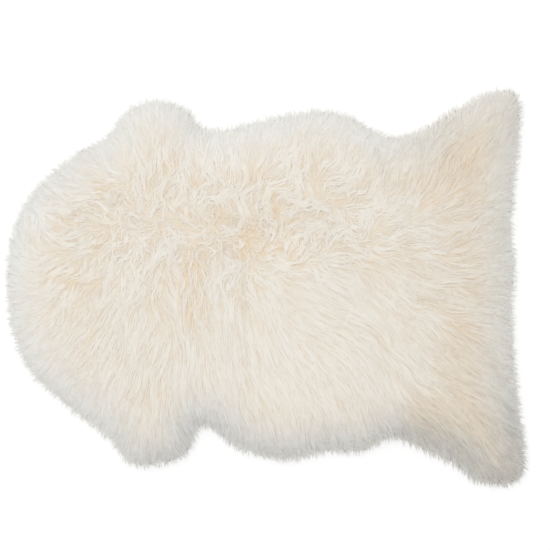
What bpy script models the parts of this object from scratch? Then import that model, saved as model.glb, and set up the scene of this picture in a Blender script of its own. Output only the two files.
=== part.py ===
"""A sheepskin rug: one tanned pelt with its wool on, lying flat on the floor.

The pelt is one closed solid that reaches as far as its wool does. Its underside is flat. Its top rises
from a thin edge, where the wool lies over onto the floor, to the full depth of the pile, which swells a
little here and there and opens along a few partings.

Metres, +Z up. +X runs along the spine from the neck to the tail. The origin is on the floor, at the
middle of the pelt's length and width.
"""

import math
from collections import namedtuple

import bmesh
import bpy
from mathutils import Vector, geometry, kdtree, noise

# Driving sizes, with the wool
LENGTH = 0.900
WIDTH = 0.690
PILE = 0.052
TIP_THICKNESS = 0.003
SHOULDER = 0.080
SWELL_HEIGHT = 0.003
SWELL_LENGTH = 0.110

# How finely the faces follow the shape
OUTLINE_STEP = 0.010
TRACE_STEP = 0.002
LATTICE_STEP = 0.022
LEAST_INSET_SHARE = 0.97
LEAST_STEP_SHARE = 0.7
MERGE = 0.00001
SHARP_ANGLE = math.radians(60)

WOOL_COLOUR = (0.83, 0.77, 0.66, 1.0)
WOOL_ROUGHNESS = 0.9

# The pelt's outline, walked from the neck along the +Y side to the tail, and back along the -Y side
Point = namedtuple("Point", "place x y")
OUTLINE = (
    Point("neck", -0.450, 0.020),
    Point("neck", -0.436, 0.105),
    Point("neck", -0.400, 0.170),
    Point("neck", -0.325, 0.236),
    Point("fore leg", -0.280, 0.258),
    Point("fore leg", -0.240, 0.308),
    Point("fore leg", -0.190, 0.325),
    Point("fore leg", -0.137, 0.308),
    Point("fore leg", -0.112, 0.280),
    Point("flank", -0.090, 0.272),
    Point("flank", -0.015, 0.289),
    Point("flank", 0.090, 0.307),
    Point("flank", 0.145, 0.296),
    Point("flank", 0.190, 0.270),
    Point("waist", 0.218, 0.262),
    Point("hind leg", 0.265, 0.273),
    Point("hind leg", 0.340, 0.318),
    Point("hind leg", 0.412, 0.345),
    Point("hind leg", 0.435, 0.328),
    Point("hind leg", 0.438, 0.275),
    Point("tail", 0.428, 0.175),
    Point("tail", 0.424, 0.095),
    Point("tail", 0.430, 0.030),
    Point("tail", 0.424, -0.030),
    Point("tail", 0.433, -0.180),
    Point("hind leg", 0.446, -0.295),
    Point("hind leg", 0.436, -0.336),
    Point("hind leg", 0.370, -0.343),
    Point("hind leg", 0.320, -0.309),
    Point("hind leg", 0.250, -0.276),
    Point("waist", 0.215, -0.265),
    Point("flank", 0.165, -0.287),
    Point("flank", 0.105, -0.288),
    Point("flank", 0.030, -0.302),
    Point("flank", -0.055, -0.280),
    Point("flank", -0.108, -0.243),
    Point("fore leg", -0.138, -0.292),
    Point("fore leg", -0.200, -0.312),
    Point("fore leg", -0.237, -0.308),
    Point("fore leg", -0.272, -0.266),
    Point("neck", -0.345, -0.208),
    Point("neck", -0.410, -0.146),
    Point("neck", -0.442, -0.070),
)

# Rings of points round the rolled edge: how far in from the tips, and how far apart along the ring
Ring = namedtuple("Ring", "inset step")
RINGS = (
    Ring(0.003, 0.010),
    Ring(0.010, 0.011),
    Ring(0.022, 0.013),
    Ring(0.038, 0.016),
    Ring(0.058, 0.019),
)

# Where the wool opens: a line from one end to the other, how far its sides slope away, and how deep it is
Parting = namedtuple("Parting", "place x1 y1 x2 y2 reach depth")
PARTINGS = (
    Parting("crown of the back", -0.035, 0.085, 0.010, 0.080, 0.040, 0.009),
    Parting("rump", 0.190, 0.060, 0.225, -0.185, 0.032, 0.006),
    Parting("saddle", -0.030, -0.010, -0.035, -0.150, 0.030, 0.004),
    Parting("neck", -0.375, 0.060, -0.330, 0.000, 0.045, 0.004),
    Parting("tip of the hind leg", 0.425, -0.315, 0.400, -0.300, 0.045, 0.014),
)


def clear_scene():
    for obj in list(bpy.data.objects):
        bpy.data.objects.remove(obj)


def curve_through(knots, step):
    """Points at even steps along the smooth closed curve through the knots."""
    dense = []
    count = len(knots)
    for i, start in enumerate(knots):
        end = knots[(i + 1) % count]
        length = (end - start).length
        leaving = (end - knots[i - 1]).normalized() * length / 3
        arriving = (knots[(i + 2) % count] - start).normalized() * length / 3
        resolution = round(length / TRACE_STEP) + 1
        dense += geometry.interpolate_bezier(
            start, start + leaving, end - arriving, end, resolution
        )[:-1]
    return even_steps(dense, step)


def even_steps(loop, step):
    """The closed loop of points again, spaced evenly at close to the step."""
    lengths = [(loop[(i + 1) % len(loop)] - p).length for i, p in enumerate(loop)]
    count = round(sum(lengths) / step)
    spacing = sum(lengths) / count
    points = []
    walked = 0.0
    for i, length in enumerate(lengths):
        while len(points) < count and len(points) * spacing <= walked + length:
            along = (len(points) * spacing - walked) / length
            points.append(loop[i].lerp(loop[(i + 1) % len(loop)], along))
        walked += length
    return points


def sized(points):
    """The points moved and stretched so that their box is LENGTH by WIDTH about the origin."""
    xs = [p.x for p in points]
    ys = [p.y for p in points]
    middle = Vector(((max(xs) + min(xs)) / 2, (max(ys) + min(ys)) / 2))
    stretch = Vector((LENGTH / (max(xs) - min(xs)), WIDTH / (max(ys) - min(ys))))
    return [(p - middle) * stretch for p in points]


def tree_of(points):
    tree = kdtree.KDTree(len(points))
    for i, p in enumerate(points):
        tree.insert((p.x, p.y, 0), i)
    tree.balance()
    return tree


def inset_of(point, edge):
    """How far a point is in from the wool's tips."""
    return edge.find((point.x, point.y, 0))[2]


def is_inside(point, loop):
    inside = False
    for i, a in enumerate(loop):
        b = loop[i - 1]
        if (a.y > point.y) != (b.y > point.y):
            if point.x < a.x + (point.y - a.y) * (b.x - a.x) / (b.y - a.y):
                inside = not inside
    return inside


def ring_points(outline, edge, ring):
    """Points at one inset all the way round, with none where a notch folds the ring over itself."""
    found = []
    for i, here in enumerate(outline):
        along = outline[(i + 1) % len(outline)] - outline[i - 1]
        # The outline is walked clockwise from above, so inwards is to its right
        inwards = Vector((along.y, -along.x)).normalized()
        point = here + inwards * ring.inset
        if inset_of(point, edge) < LEAST_INSET_SHARE * ring.inset:
            continue
        if found and (point - found[-1]).length < LEAST_STEP_SHARE * ring.step:
            continue
        found.append(point)
    if (found[0] - found[-1]).length < LEAST_STEP_SHARE * ring.step:
        found.pop()
    return found


def lattice_points(outline, edge):
    """Staggered rows of points over the back, inside the last ring."""
    start = RINGS[-1].inset + LATTICE_STEP / 2
    row_step = LATTICE_STEP * math.sqrt(3) / 2
    rows = math.ceil(WIDTH / row_step)
    columns = math.ceil(LENGTH / LATTICE_STEP)
    found = []
    for row in range(rows):
        for column in range(columns):
            x = -LENGTH / 2 + (column + 0.5 * (row % 2)) * LATTICE_STEP
            y = -WIDTH / 2 + row * row_step
            point = Vector((x, y))
            if is_inside(point, outline) and inset_of(point, edge) > start:
                found.append(point)
    return found


def distance_to_parting(point, parting):
    a = Vector((parting.x1, parting.y1))
    b = Vector((parting.x2, parting.y2))
    along = max(0.0, min(1.0, (point - a).dot(b - a) / (b - a).length_squared))
    return (point - a.lerp(b, along)).length


def depth_at(point, inset):
    """The depth of the pile: round at the edge, then swelling, and lower along each parting."""
    out = max(0.0, 1 - inset / SHOULDER)
    rise = math.sqrt(1 - out * out)
    swell = noise.noise(Vector((point.x, point.y, 0)) / SWELL_LENGTH) * SWELL_HEIGHT
    opened = 0.0
    for parting in PARTINGS:
        near = distance_to_parting(point, parting) / parting.reach
        opened += parting.depth * math.exp(-near * near)
    return TIP_THICKNESS + rise * max(0.0, PILE - TIP_THICKNESS + swell - opened)


def pelt_mesh():
    knots = [Vector((row.x, row.y)) for row in OUTLINE]
    trace = sized(curve_through(knots, TRACE_STEP))
    edge = tree_of(trace)
    outline = even_steps(trace, OUTLINE_STEP)

    inner = []
    for ring in RINGS:
        inner += ring_points(even_steps(trace, ring.step), edge, ring)
    inner += lattice_points(outline, edge)
    count = len(outline)
    rim = [(i, (i + 1) % count) for i in range(count)]
    flat, _, faces, _, _, _ = geometry.delaunay_2d_cdt(
        outline + inner, rim, [], 1, MERGE
    )

    bm = bmesh.new()
    top = [bm.verts.new((p.x, p.y, depth_at(p, inset_of(p, edge)))) for p in flat]
    foot = [bm.verts.new((p.x, p.y, 0)) for p in outline]
    for face in faces:
        bm.faces.new([top[i] for i in face])
    for i, j in rim:
        bm.faces.new([foot[i], foot[j], top[j], top[i]])
    bm.faces.new(foot)
    bmesh.ops.recalc_face_normals(bm, faces=bm.faces)
    mesh = bpy.data.meshes.new("pelt")
    bm.to_mesh(mesh)
    bm.free()
    return mesh


def wool_material():
    material = bpy.data.materials.new("wool")
    material.use_nodes = True
    shader = material.node_tree.nodes["Principled BSDF"]
    shader.inputs["Base Color"].default_value = WOOL_COLOUR
    shader.inputs["Roughness"].default_value = WOOL_ROUGHNESS
    shader.inputs["Metallic"].default_value = 0.0
    return material


def make_pelt():
    mesh = pelt_mesh()
    mesh.materials.append(wool_material())
    mesh.shade_smooth()
    mesh.set_sharp_from_angle(angle=SHARP_ANGLE)
    pelt = bpy.data.objects.new("pelt", mesh)
    bpy.context.collection.objects.link(pelt)


clear_scene()
make_pelt()
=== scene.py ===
# %% [markdown]
# # A sheepskin rug
#
# A sheepskin rug is one animal's skin, tanned with its wool still on. Nothing is woven or sewn, so all that
# anyone sees is hair, and hair is what this lesson makes. A plain solid already gives the rug's outline and
# the depth of its pile. Here it is dressed in three layers, from the floor up: the tanned hide, the dense
# short wool that fills the pile, and the long locks that lie over it.

# %% Open the frame
import math
from collections import namedtuple

import bmesh
import bpy
import numpy as np
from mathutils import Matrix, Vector, noise
from mathutils.bvhtree import BVHTree


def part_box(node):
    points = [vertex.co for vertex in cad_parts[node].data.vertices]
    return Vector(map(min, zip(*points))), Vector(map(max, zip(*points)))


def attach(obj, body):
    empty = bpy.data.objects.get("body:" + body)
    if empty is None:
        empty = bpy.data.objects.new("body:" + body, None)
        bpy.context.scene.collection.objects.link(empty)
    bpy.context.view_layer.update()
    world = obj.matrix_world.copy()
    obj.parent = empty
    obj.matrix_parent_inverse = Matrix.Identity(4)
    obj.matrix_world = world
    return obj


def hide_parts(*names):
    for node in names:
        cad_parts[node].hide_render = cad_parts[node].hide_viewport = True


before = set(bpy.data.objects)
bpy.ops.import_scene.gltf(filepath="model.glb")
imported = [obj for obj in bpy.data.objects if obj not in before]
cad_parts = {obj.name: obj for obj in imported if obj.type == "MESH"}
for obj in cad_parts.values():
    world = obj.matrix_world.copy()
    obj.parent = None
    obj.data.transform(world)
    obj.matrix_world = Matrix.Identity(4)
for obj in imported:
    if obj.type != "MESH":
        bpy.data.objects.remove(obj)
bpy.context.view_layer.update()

chance = np.random.default_rng(7)

# %% [markdown]
# ## Reading the pelt
#
# Everything that follows has to know two things about any spot on the rug: how deep the pile is there, and
# how far the spot is in from the tips of the wool. Asking the mesh each time would be slow, so both are
# measured once on a grid of small cells, like a relief map. Rays dropped from above give the depth. The
# distance to the nearest edge of the flat underside gives the inset, which is negative outside the pelt.
# Lengths are in metres, here and everywhere but in the camera's lens.

# %% Map the pelt's depth and inset
CELL = 0.004
MARGIN = 0.048
BLUR = 0.018
MERGE = 0.00001
HIGH_ABOVE = 1.0
FACING_DOWN = -0.9

solid = bmesh.new()
solid.from_mesh(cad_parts["pelt"].data)
bmesh.ops.remove_doubles(solid, verts=solid.verts, dist=MERGE)
solid.normal_update()
low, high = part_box("pelt")
columns = np.arange(low.x - MARGIN, high.x + MARGIN, CELL)
rows = np.arange(low.y - MARGIN, high.y + MARGIN, CELL)
tree = BVHTree.FromBMesh(solid)


def height_under(tree, x, y):
    """How high the top of this body is at x and y, or 0 beside it."""
    hit = tree.ray_cast(Vector((x, y, HIGH_ABOVE)), Vector((0, 0, -1)))[0]
    return hit.z if hit else 0.0


def is_rim(edge):
    """Whether this edge lies on the floor, with the underside on one side of it only."""
    on_floor = all(v.co.z < MERGE for v in edge.verts)
    return on_floor and len({face.normal.z < FACING_DOWN for face in edge.link_faces}) == 2


def map_inset(rim):
    """How far each cell is in from the nearest of these edges, or, outside the pelt, out from it."""
    across, along = np.meshgrid(columns, rows)
    nearest = np.full(across.shape, np.inf)
    for edge in rim:
        a, b = (v.co.xy for v in edge.verts)
        run = b - a
        share = ((across - a.x) * run.x + (along - a.y) * run.y) / run.length_squared
        share = np.clip(share, 0, 1)
        away = np.hypot(across - a.x - share * run.x, along - a.y - share * run.y)
        nearest = np.minimum(nearest, away)
    return np.where(pile > 0, nearest, -nearest)


def blurred(field):
    """The map with each cell averaged over its neighbours, near ones most."""
    reach = np.arange(-3 * BLUR, 3 * BLUR + CELL, CELL)
    weights = np.exp(-((reach / BLUR) ** 2) / 2)
    weights /= weights.sum()
    for axis in (0, 1):
        field = np.apply_along_axis(lambda line: np.convolve(line, weights, "same"), axis, field)
    return field


pile = np.array([[height_under(tree, x, y) for x in columns] for y in rows])
inset = map_inset([edge for edge in solid.edges if is_rim(edge)])
inset_slopes = np.gradient(inset, CELL)
smooth_slopes = np.gradient(blurred(inset), CELL)
pile_slopes = np.gradient(pile, CELL)
solid.free()
print("cells:", pile.shape, "deepest pile:", round(pile.max(), 4), "widest inset:", round(inset.max(), 4))


# %% Read the maps anywhere
BEFORE_LAST = 1.001
FLATTEST = 0.001


def read(field, x, y):
    """The map's value at each x and y, blended from the four cells round it."""
    column = np.clip((x - columns[0]) / CELL, 0, len(columns) - BEFORE_LAST)
    row = np.clip((y - rows[0]) / CELL, 0, len(rows) - BEFORE_LAST)
    i, j = row.astype(int), column.astype(int)
    v, u = row - i, column - j
    near = field[i, j] * (1 - u) + field[i, j + 1] * u
    far = field[i + 1, j] * (1 - u) + field[i + 1, j + 1] * u
    return near * (1 - v) + far * v


def downhill(slopes, x, y):
    """The direction in which a map falls, as x and y."""
    dx, dy = -read(slopes[1], x, y), -read(slopes[0], x, y)
    size = np.maximum(np.hypot(dx, dy), FLATTEST)
    return dx / size, dy / size


def smooth_step(low_end, high_end, value):
    """0 up to the low end, 1 from the high end on, and a soft rise between them."""
    share = np.clip((value - low_end) / (high_end - low_end), 0, 1)
    return share * share * (3 - 2 * share)


# %% [markdown]
# ## Working by hand, in code
#
# Blender's operators act on whatever is selected, so a small helper first deselects everything and then makes
# one piece the active one. Points are picked in code, by their place.

# %% Small helpers for modelling
def deselect_all():
    for obj in bpy.context.selected_objects:
        obj.select_set(False)


def activate(obj):
    deselect_all()
    obj.select_set(True)
    bpy.context.view_layer.objects.active = obj


def points_of(mesh):
    points = np.empty(len(mesh.vertices) * 3, np.float32)
    mesh.vertices.foreach_get("co", points)
    return points.reshape(-1, 3).astype(float)


def move_points(mesh, points):
    mesh.vertices.foreach_set("co", points.astype(np.float32).ravel())
    mesh.update()


def select_points(obj, chosen):
    """Goes into edit mode with only the chosen points selected."""
    activate(obj)
    bpy.ops.object.mode_set(mode="EDIT")
    bpy.ops.mesh.select_mode(type="VERT")
    bpy.ops.mesh.select_all(action="DESELECT")
    bpy.ops.object.mode_set(mode="OBJECT")
    obj.data.vertices.foreach_set("select", chosen)
    bpy.ops.object.mode_set(mode="EDIT")


def triangles(obj):
    obj.data.calc_loop_triangles()
    return len(obj.data.loop_triangles)


# %% [markdown]
# ## The hide
#
# The tanned skin is a sheet of suede a few millimetres thick, and it is smaller than the rug, because the
# wool hangs out past its edge. It could be drawn as an outline and filled, but a grid with the outside cut
# away has even faces all over, as a sheet needs that may one day be draped. The points left on the cut are
# slid out onto a line at one inset all the way round, and Solidify gives the sheet its thickness.

# %% Cut the hide
HIDE_THICKNESS = 0.0028
HIDE_INSET = 0.034
HIDE_STEP = 0.015


def make_hide():
    """The hide as a sheet with its thickness, and the flat area it was cut to."""
    size = high - low
    bpy.ops.mesh.primitive_grid_add(
        x_subdivisions=round(size.x / HIDE_STEP),
        y_subdivisions=round(size.y / HIDE_STEP),
        size=1,
    )
    hide = bpy.context.object
    hide.name = "hide"
    hide.scale = (size.x, size.y, 1)
    bpy.ops.object.transform_apply(location=True, rotation=True, scale=True)
    points = points_of(hide.data)
    select_points(hide, read(inset, points[:, 0], points[:, 1]) < HIDE_INSET)
    bpy.ops.mesh.delete(type="VERT")
    bpy.ops.mesh.select_all(action="DESELECT")
    bpy.ops.mesh.select_non_manifold()
    bpy.ops.object.mode_set(mode="OBJECT")

    cut = np.empty(len(hide.data.vertices), bool)
    hide.data.vertices.foreach_get("select", cut)
    points = points_of(hide.data)
    x, y = points[cut, 0], points[cut, 1]
    out_x, out_y = downhill(inset_slopes, x, y)
    slide = read(inset, x, y) - HIDE_INSET
    points[cut, 0] += out_x * slide
    points[cut, 1] += out_y * slide
    move_points(hide.data, points)
    area = sum(face.area for face in hide.data.polygons)

    activate(hide)
    modifier = hide.modifiers.new("thickness", "SOLIDIFY")
    modifier.thickness = HIDE_THICKNESS
    modifier.offset = 1
    bpy.ops.object.modifier_apply(modifier=modifier.name)
    return hide, area


hide, hide_area = make_hide()
hide_points = points_of(hide.data)
hide_size = hide_points.max(0) - hide_points.min(0)
print("hide:", hide_size.round(4), "m, flat area", round(hide_area, 4), "m2,", triangles(hide), "triangles")

# %% [markdown]
# ## How the wool lies
#
# A fleece is combed by the animal's own shape. The hair parts along the spine and runs down both sides and
# out to the legs, long and straight on the belly, short and curly on the back. A groomer places guide hairs
# and lets the rest follow, and so does this table. Each guide has a place, the way the wool runs there in
# degrees from +X, how curly it is, and how far a lock reaches over its neighbours.

# %% The guides
Guide = namedtuple("Guide", "place x y heading curl reach")
GUIDES = (
    Guide("neck, front", -0.42, 0.03, 165, 0.3, 0.052),
    Guide("neck, front above", -0.41, 0.09, 118, 0.7, 0.036),
    Guide("neck, upper", -0.37, 0.15, 152, 0.4, 0.038),
    Guide("neck, top edge", -0.31, 0.21, 155, 0.2, 0.052),
    Guide("neck, front below", -0.41, -0.04, 205, 0.2, 0.057),
    Guide("neck, lower", -0.35, -0.11, 220, 0.2, 0.062),
    Guide("nape, upper", -0.30, 0.13, 185, 0.6, 0.036),
    Guide("nape", -0.31, 0.07, 210, 0.5, 0.040),
    Guide("nape, lower", -0.32, 0.00, 240, 0.5, 0.042),
    Guide("throat", -0.28, -0.07, 240, 0.2, 0.065),
    Guide("throat, lower edge", -0.27, -0.17, 242, 0.2, 0.060),
    Guide("upper fore leg, front", -0.25, 0.24, 118, 0.2, 0.055),
    Guide("upper fore leg, tip", -0.19, 0.29, 93, 0.2, 0.049),
    Guide("upper fore leg, back", -0.14, 0.25, 86, 0.3, 0.055),
    Guide("upper shoulder", -0.23, 0.15, 110, 0.8, 0.036),
    Guide("upper fore leg, root", -0.18, 0.19, 66, 0.5, 0.044),
    Guide("shoulder", -0.23, 0.08, 248, 0.7, 0.036),
    Guide("lower shoulder", -0.23, 0.00, 250, 0.3, 0.062),
    Guide("withers, upper", -0.13, 0.14, 58, 0.8, 0.038),
    Guide("withers", -0.15, 0.06, 245, 0.7, 0.036),
    Guide("withers, lower", -0.15, -0.01, 290, 0.5, 0.044),
    Guide("elbow, front", -0.23, -0.09, 258, 0.2, 0.073),
    Guide("elbow", -0.17, -0.12, 246, 0.2, 0.073),
    Guide("elbow, back", -0.12, -0.05, 294, 0.3, 0.068),
    Guide("lower fore leg, front", -0.24, -0.25, 252, 0.2, 0.057),
    Guide("lower fore leg, root", -0.18, -0.19, 276, 0.2, 0.070),
    Guide("lower fore leg, tip", -0.19, -0.29, 284, 0.2, 0.055),
    Guide("lower fore leg, back", -0.13, -0.24, 290, 0.2, 0.057),
    Guide("upper side, front", -0.07, 0.24, 95, 0.3, 0.057),
    Guide("upper side", 0.00, 0.25, 76, 0.3, 0.057),
    Guide("upper side, back", 0.09, 0.24, 60, 0.3, 0.057),
    Guide("upper waist", 0.18, 0.22, 54, 0.3, 0.055),
    Guide("back, front", -0.08, 0.18, 64, 0.6, 0.042),
    Guide("back, middle", 0.03, 0.19, 46, 0.6, 0.044),
    Guide("back, rear", 0.11, 0.17, 38, 0.7, 0.042),
    Guide("back, hip", 0.20, 0.15, 54, 0.4, 0.046),
    Guide("spine, front", -0.06, 0.12, 40, 1.0, 0.032),
    Guide("spine, middle", 0.03, 0.12, 50, 1.0, 0.032),
    Guide("spine, rear", 0.12, 0.12, 18, 0.9, 0.034),
    Guide("crown", -0.01, 0.08, 20, 1.0, 0.026),
    Guide("crown, front", -0.07, 0.06, 262, 0.8, 0.034),
    Guide("crown, rear", 0.06, 0.08, 85, 0.9, 0.028),
    Guide("under the crown", -0.04, 0.01, 268, 0.6, 0.042),
    Guide("fan, upper", 0.01, 0.02, 322, 0.3, 0.065),
    Guide("fan, right", 0.09, 0.01, 345, 0.2, 0.070),
    Guide("fan, middle", 0.06, -0.05, 322, 0.1, 0.078),
    Guide("fan, left", 0.00, -0.06, 288, 0.1, 0.078),
    Guide("fan, end", 0.14, -0.06, 345, 0.2, 0.065),
    Guide("belly, front", -0.06, -0.11, 278, 0.2, 0.078),
    Guide("belly, front edge", -0.05, -0.22, 279, 0.2, 0.065),
    Guide("belly, middle", 0.02, -0.15, 299, 0.1, 0.081),
    Guide("belly, middle edge", 0.04, -0.24, 284, 0.2, 0.065),
    Guide("belly, rear", 0.11, -0.14, 308, 0.1, 0.078),
    Guide("belly, rear edge", 0.13, -0.23, 290, 0.2, 0.065),
    Guide("loin, upper", 0.14, 0.06, 328, 0.5, 0.042),
    Guide("loin", 0.19, 0.00, 314, 0.2, 0.065),
    Guide("loin, lower", 0.20, -0.10, 302, 0.2, 0.073),
    Guide("lower waist", 0.20, -0.19, 294, 0.2, 0.065),
    Guide("hip, upper", 0.24, 0.09, 5, 0.4, 0.044),
    Guide("hip", 0.27, 0.01, 342, 0.3, 0.065),
    Guide("hip, lower", 0.28, -0.10, 320, 0.2, 0.073),
    Guide("thigh", 0.30, -0.19, 326, 0.2, 0.070),
    Guide("upper hind leg, front", 0.27, 0.20, 70, 0.3, 0.057),
    Guide("upper hind leg, root", 0.33, 0.14, 26, 0.4, 0.044),
    Guide("upper hind leg", 0.35, 0.21, 46, 0.3, 0.057),
    Guide("upper hind leg, tip", 0.40, 0.28, 62, 0.2, 0.047),
    Guide("tail, upper", 0.40, 0.10, 22, 0.4, 0.040),
    Guide("tail", 0.36, 0.00, 358, 0.3, 0.060),
    Guide("tail, lower", 0.37, -0.09, 338, 0.2, 0.065),
    Guide("lower hind leg, root", 0.38, -0.18, 324, 0.2, 0.068),
    Guide("lower hind leg", 0.33, -0.26, 304, 0.2, 0.062),
    Guide("lower hind leg, tip", 0.41, -0.31, 308, 0.1, 0.031),
)

# %% [markdown]
# Between the guides the wool takes a weighted mean of them all, in which near ones count most. Close to the
# edge it also turns outwards, as wool does once nothing beside it holds it in, and where it is curly its way
# swirls about.

# %% Comb the wool
GUIDE_REACH = 0.034
FAR_WEIGHT = 1e-5
FAINTEST = 0.05
ORDERLY = (0.35, 0.9)
TURN_OUT = (0.008, 0.045)
TURN_SHARE = 0.55
SWIRL_LENGTH = 0.030
SWIRL_STRAIGHT = 0.12
SWIRL_CURLY = 3.2
CURL_POWER = 1.5


def noise_map(length, layer):
    """Soft lumps about as long as this, as a map, mostly between -0.5 and 0.5."""
    return np.array([[noise.noise(Vector((x / length, y / length, layer))) for x in columns] for y in rows])


def comb():
    """Maps of the way the wool runs, as x and y, of its curl and reach, and of how well the guides agree."""
    across, along = np.meshgrid(columns, rows)
    total = np.zeros(across.shape)
    sums = [np.zeros(across.shape) for _ in range(4)]
    for guide in GUIDES:
        away = np.hypot(across - guide.x, along - guide.y) / GUIDE_REACH
        weight = np.exp(-away * away / 2) + FAR_WEIGHT / (1 + away**4)
        angle = math.radians(guide.heading)
        total += weight
        for i, value in enumerate((math.cos(angle), math.sin(angle), guide.curl, guide.reach)):
            sums[i] += weight * value
    run_x, run_y, curl, reach = (s / total for s in sums)
    size = np.maximum(np.hypot(run_x, run_y), FAINTEST)
    out_x, out_y = -smooth_slopes[1], -smooth_slopes[0]
    out_size = np.maximum(np.hypot(out_x, out_y), FLATTEST)
    turn = TURN_SHARE * (1 - smooth_step(*TURN_OUT, inset))
    run_x = run_x / size * (1 - turn) + out_x / out_size * turn
    run_y = run_y / size * (1 - turn) + out_y / out_size * turn
    swirl = SWIRL_STRAIGHT + SWIRL_CURLY * curl**CURL_POWER
    heading = np.arctan2(run_y, run_x) + noise_map(SWIRL_LENGTH, layer=3.7) * swirl
    order = smooth_step(*ORDERLY, np.hypot(sums[0], sums[1]) / total)
    return np.cos(heading), np.sin(heading), curl, reach, order


flow_x, flow_y, curl_map, reach_map, order_map = comb()
print("guides:", len(GUIDES), "curl from", round(curl_map.min(), 2), "to", round(curl_map.max(), 2))


def heading_at(x, y):
    return np.arctan2(read(flow_y, x, y), read(flow_x, x, y))


# %% [markdown]
# ## The under-wool
#
# Below its tips, wool is so dense that no light gets through, and every single hair of it would be wasted.
# Nearly the whole depth of the pile is therefore one soft body. It starts as a copy of the pelt's solid, is
# subdivided, drawn in from the tips, lowered a little, most where the wool is curly, and crumpled with two
# sizes of noise. So wherever the locks part, what shows between them is uneven wool and not a smooth skin.

# %% Model the under-wool
UNDERWOOL_SHARE = 0.978
CURLY_SINK = 0.060
UNDERWOOL_DRAW_IN = 0.005
DRAW_IN_REACH = 0.030
FULL_DEPTH = 0.05
SHALLOW = 0.02
CRUMPLE = ((0.022, 0.0009), (0.008, 0.0005))
SEAT = 0.0003


def crumple(x, y):
    """The height of the crumpling at x and y: each size of noise has a length of lump and a height."""
    return sum(noise.noise(Vector((x, y, 0)) / length) * rise for length, rise in CRUMPLE)


def make_underwool():
    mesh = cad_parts["pelt"].data.copy()
    mesh.materials.clear()
    underwool = bpy.data.objects.new("underwool", mesh)
    bpy.context.collection.objects.link(underwool)
    activate(underwool)
    bpy.ops.object.mode_set(mode="EDIT")
    bpy.ops.mesh.select_all(action="SELECT")
    bpy.ops.mesh.remove_doubles(threshold=MERGE)
    bpy.ops.mesh.subdivide(number_cuts=1)
    bpy.ops.object.mode_set(mode="OBJECT")

    points = points_of(mesh)
    x, y, z = points.T
    near_edge = 1 - smooth_step(0, DRAW_IN_REACH, read(inset, x, y))
    out_x, out_y = downhill(inset_slopes, x, y)
    on_top = z > MERGE
    lumps = np.array([crumple(px, py) for px, py in zip(x, y)])
    share = UNDERWOOL_SHARE - CURLY_SINK * read(curl_map, x, y) + lumps / FULL_DEPTH
    raised = share * z + HIDE_THICKNESS / 2 * (1 - smooth_step(0, SHALLOW, z))
    points[:, 0] -= out_x * near_edge * UNDERWOOL_DRAW_IN
    points[:, 1] -= out_y * near_edge * UNDERWOOL_DRAW_IN
    points[:, 2] = np.where(on_top, raised, HIDE_THICKNESS - SEAT)
    move_points(mesh, points)
    mesh.shade_smooth()
    return underwool


def map_underwool():
    body = bmesh.new()
    body.from_mesh(underwool.data)
    body_tree = BVHTree.FromBMesh(body)
    body.free()
    return np.array([[height_under(body_tree, x, y) for x in columns] for y in rows])


underwool = make_underwool()
underwool_top = map_underwool()
print("under-wool:", triangles(underwool), "triangles, highest", round(underwool_top.max(), 4))

# %% [markdown]
# ## Locks
#
# Wool doesn't grow as single hairs. It gathers in locks, wide at the root and pointed at the tip, and a lock
# waves as one. So the locks are planned first: their roots on a staggered, jittered lattice, then a spine
# for each, walked step by step along the way the wool lies. Locks rooted near the edge hang over it as far
# as the tips of the pelt. Straight locks need few steps, and curly ones more. Short filling locks cover what
# would stay bare, and a fringe of fine short wisps softens the outline.

# %% Four kinds of lock
Kind = namedtuple("Kind", "name strands steps radius root_spread closing grease")
STRAIGHT = Kind("straight", 7, 3, 0.00033, 0.0050, 0.25, 0.4)
CURLY = Kind("curly", 5, 7, 0.00055, 0.0050, 0.35, 1.0)
FRINGE = Kind("fringe", 3, 2, 0.00042, 0.0024, 0.97, 0.0)
FILLING = Kind("filling", 2, 2, 0.00052, 0.0030, 0.20, 0.9)
LOCK_STEP = 0.0098
LOCK_JITTER = 0.42
ROOT_INSET = 0.011
CURLY_FROM = 0.45


def scattered(step, nearest=ROOT_INSET):
    """Staggered rows of jittered points on the pelt, none of them nearer to its edge than this."""
    row_step = step * math.sqrt(3) / 2
    y, x = np.mgrid[low.y : high.y : row_step, low.x : high.x : step]
    x = x + step / 2 * (np.arange(len(x)) % 2)[:, None]
    roots = np.stack([x.ravel(), y.ravel()])
    roots += chance.uniform(-LOCK_JITTER, LOCK_JITTER, roots.shape) * step
    return roots[:, read(inset, *roots) > nearest]


# %% [markdown]
# A lock swings a little to one side of the way the wool lies, most where the guides disagree. Not all locks
# reach the top of the pile: they lie in layers, deeper ones among the curls, and those that hang over the
# edge fan out towards the floor.

# %% Plan the locks
SWING = 0.06
SWING_CURLY = 0.26
SWING_LOOSE = 0.9
UNEVEN_REACH = 0.15
LEAST_REACH = 0.3
STRETCH = (0.4, 1.5)
FITTING_ROUNDS = 3
HANG_BAND = 0.050
HANG_TIPS = (-0.003, 0.008)
HANG_DROP = 0.7
HANG_LIFT = (0.001, 0.009)
HIGHEST = 1.01
LEVEL_RANGE = 0.010
LEVEL_RANGE_CURLY = 0.036


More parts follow.
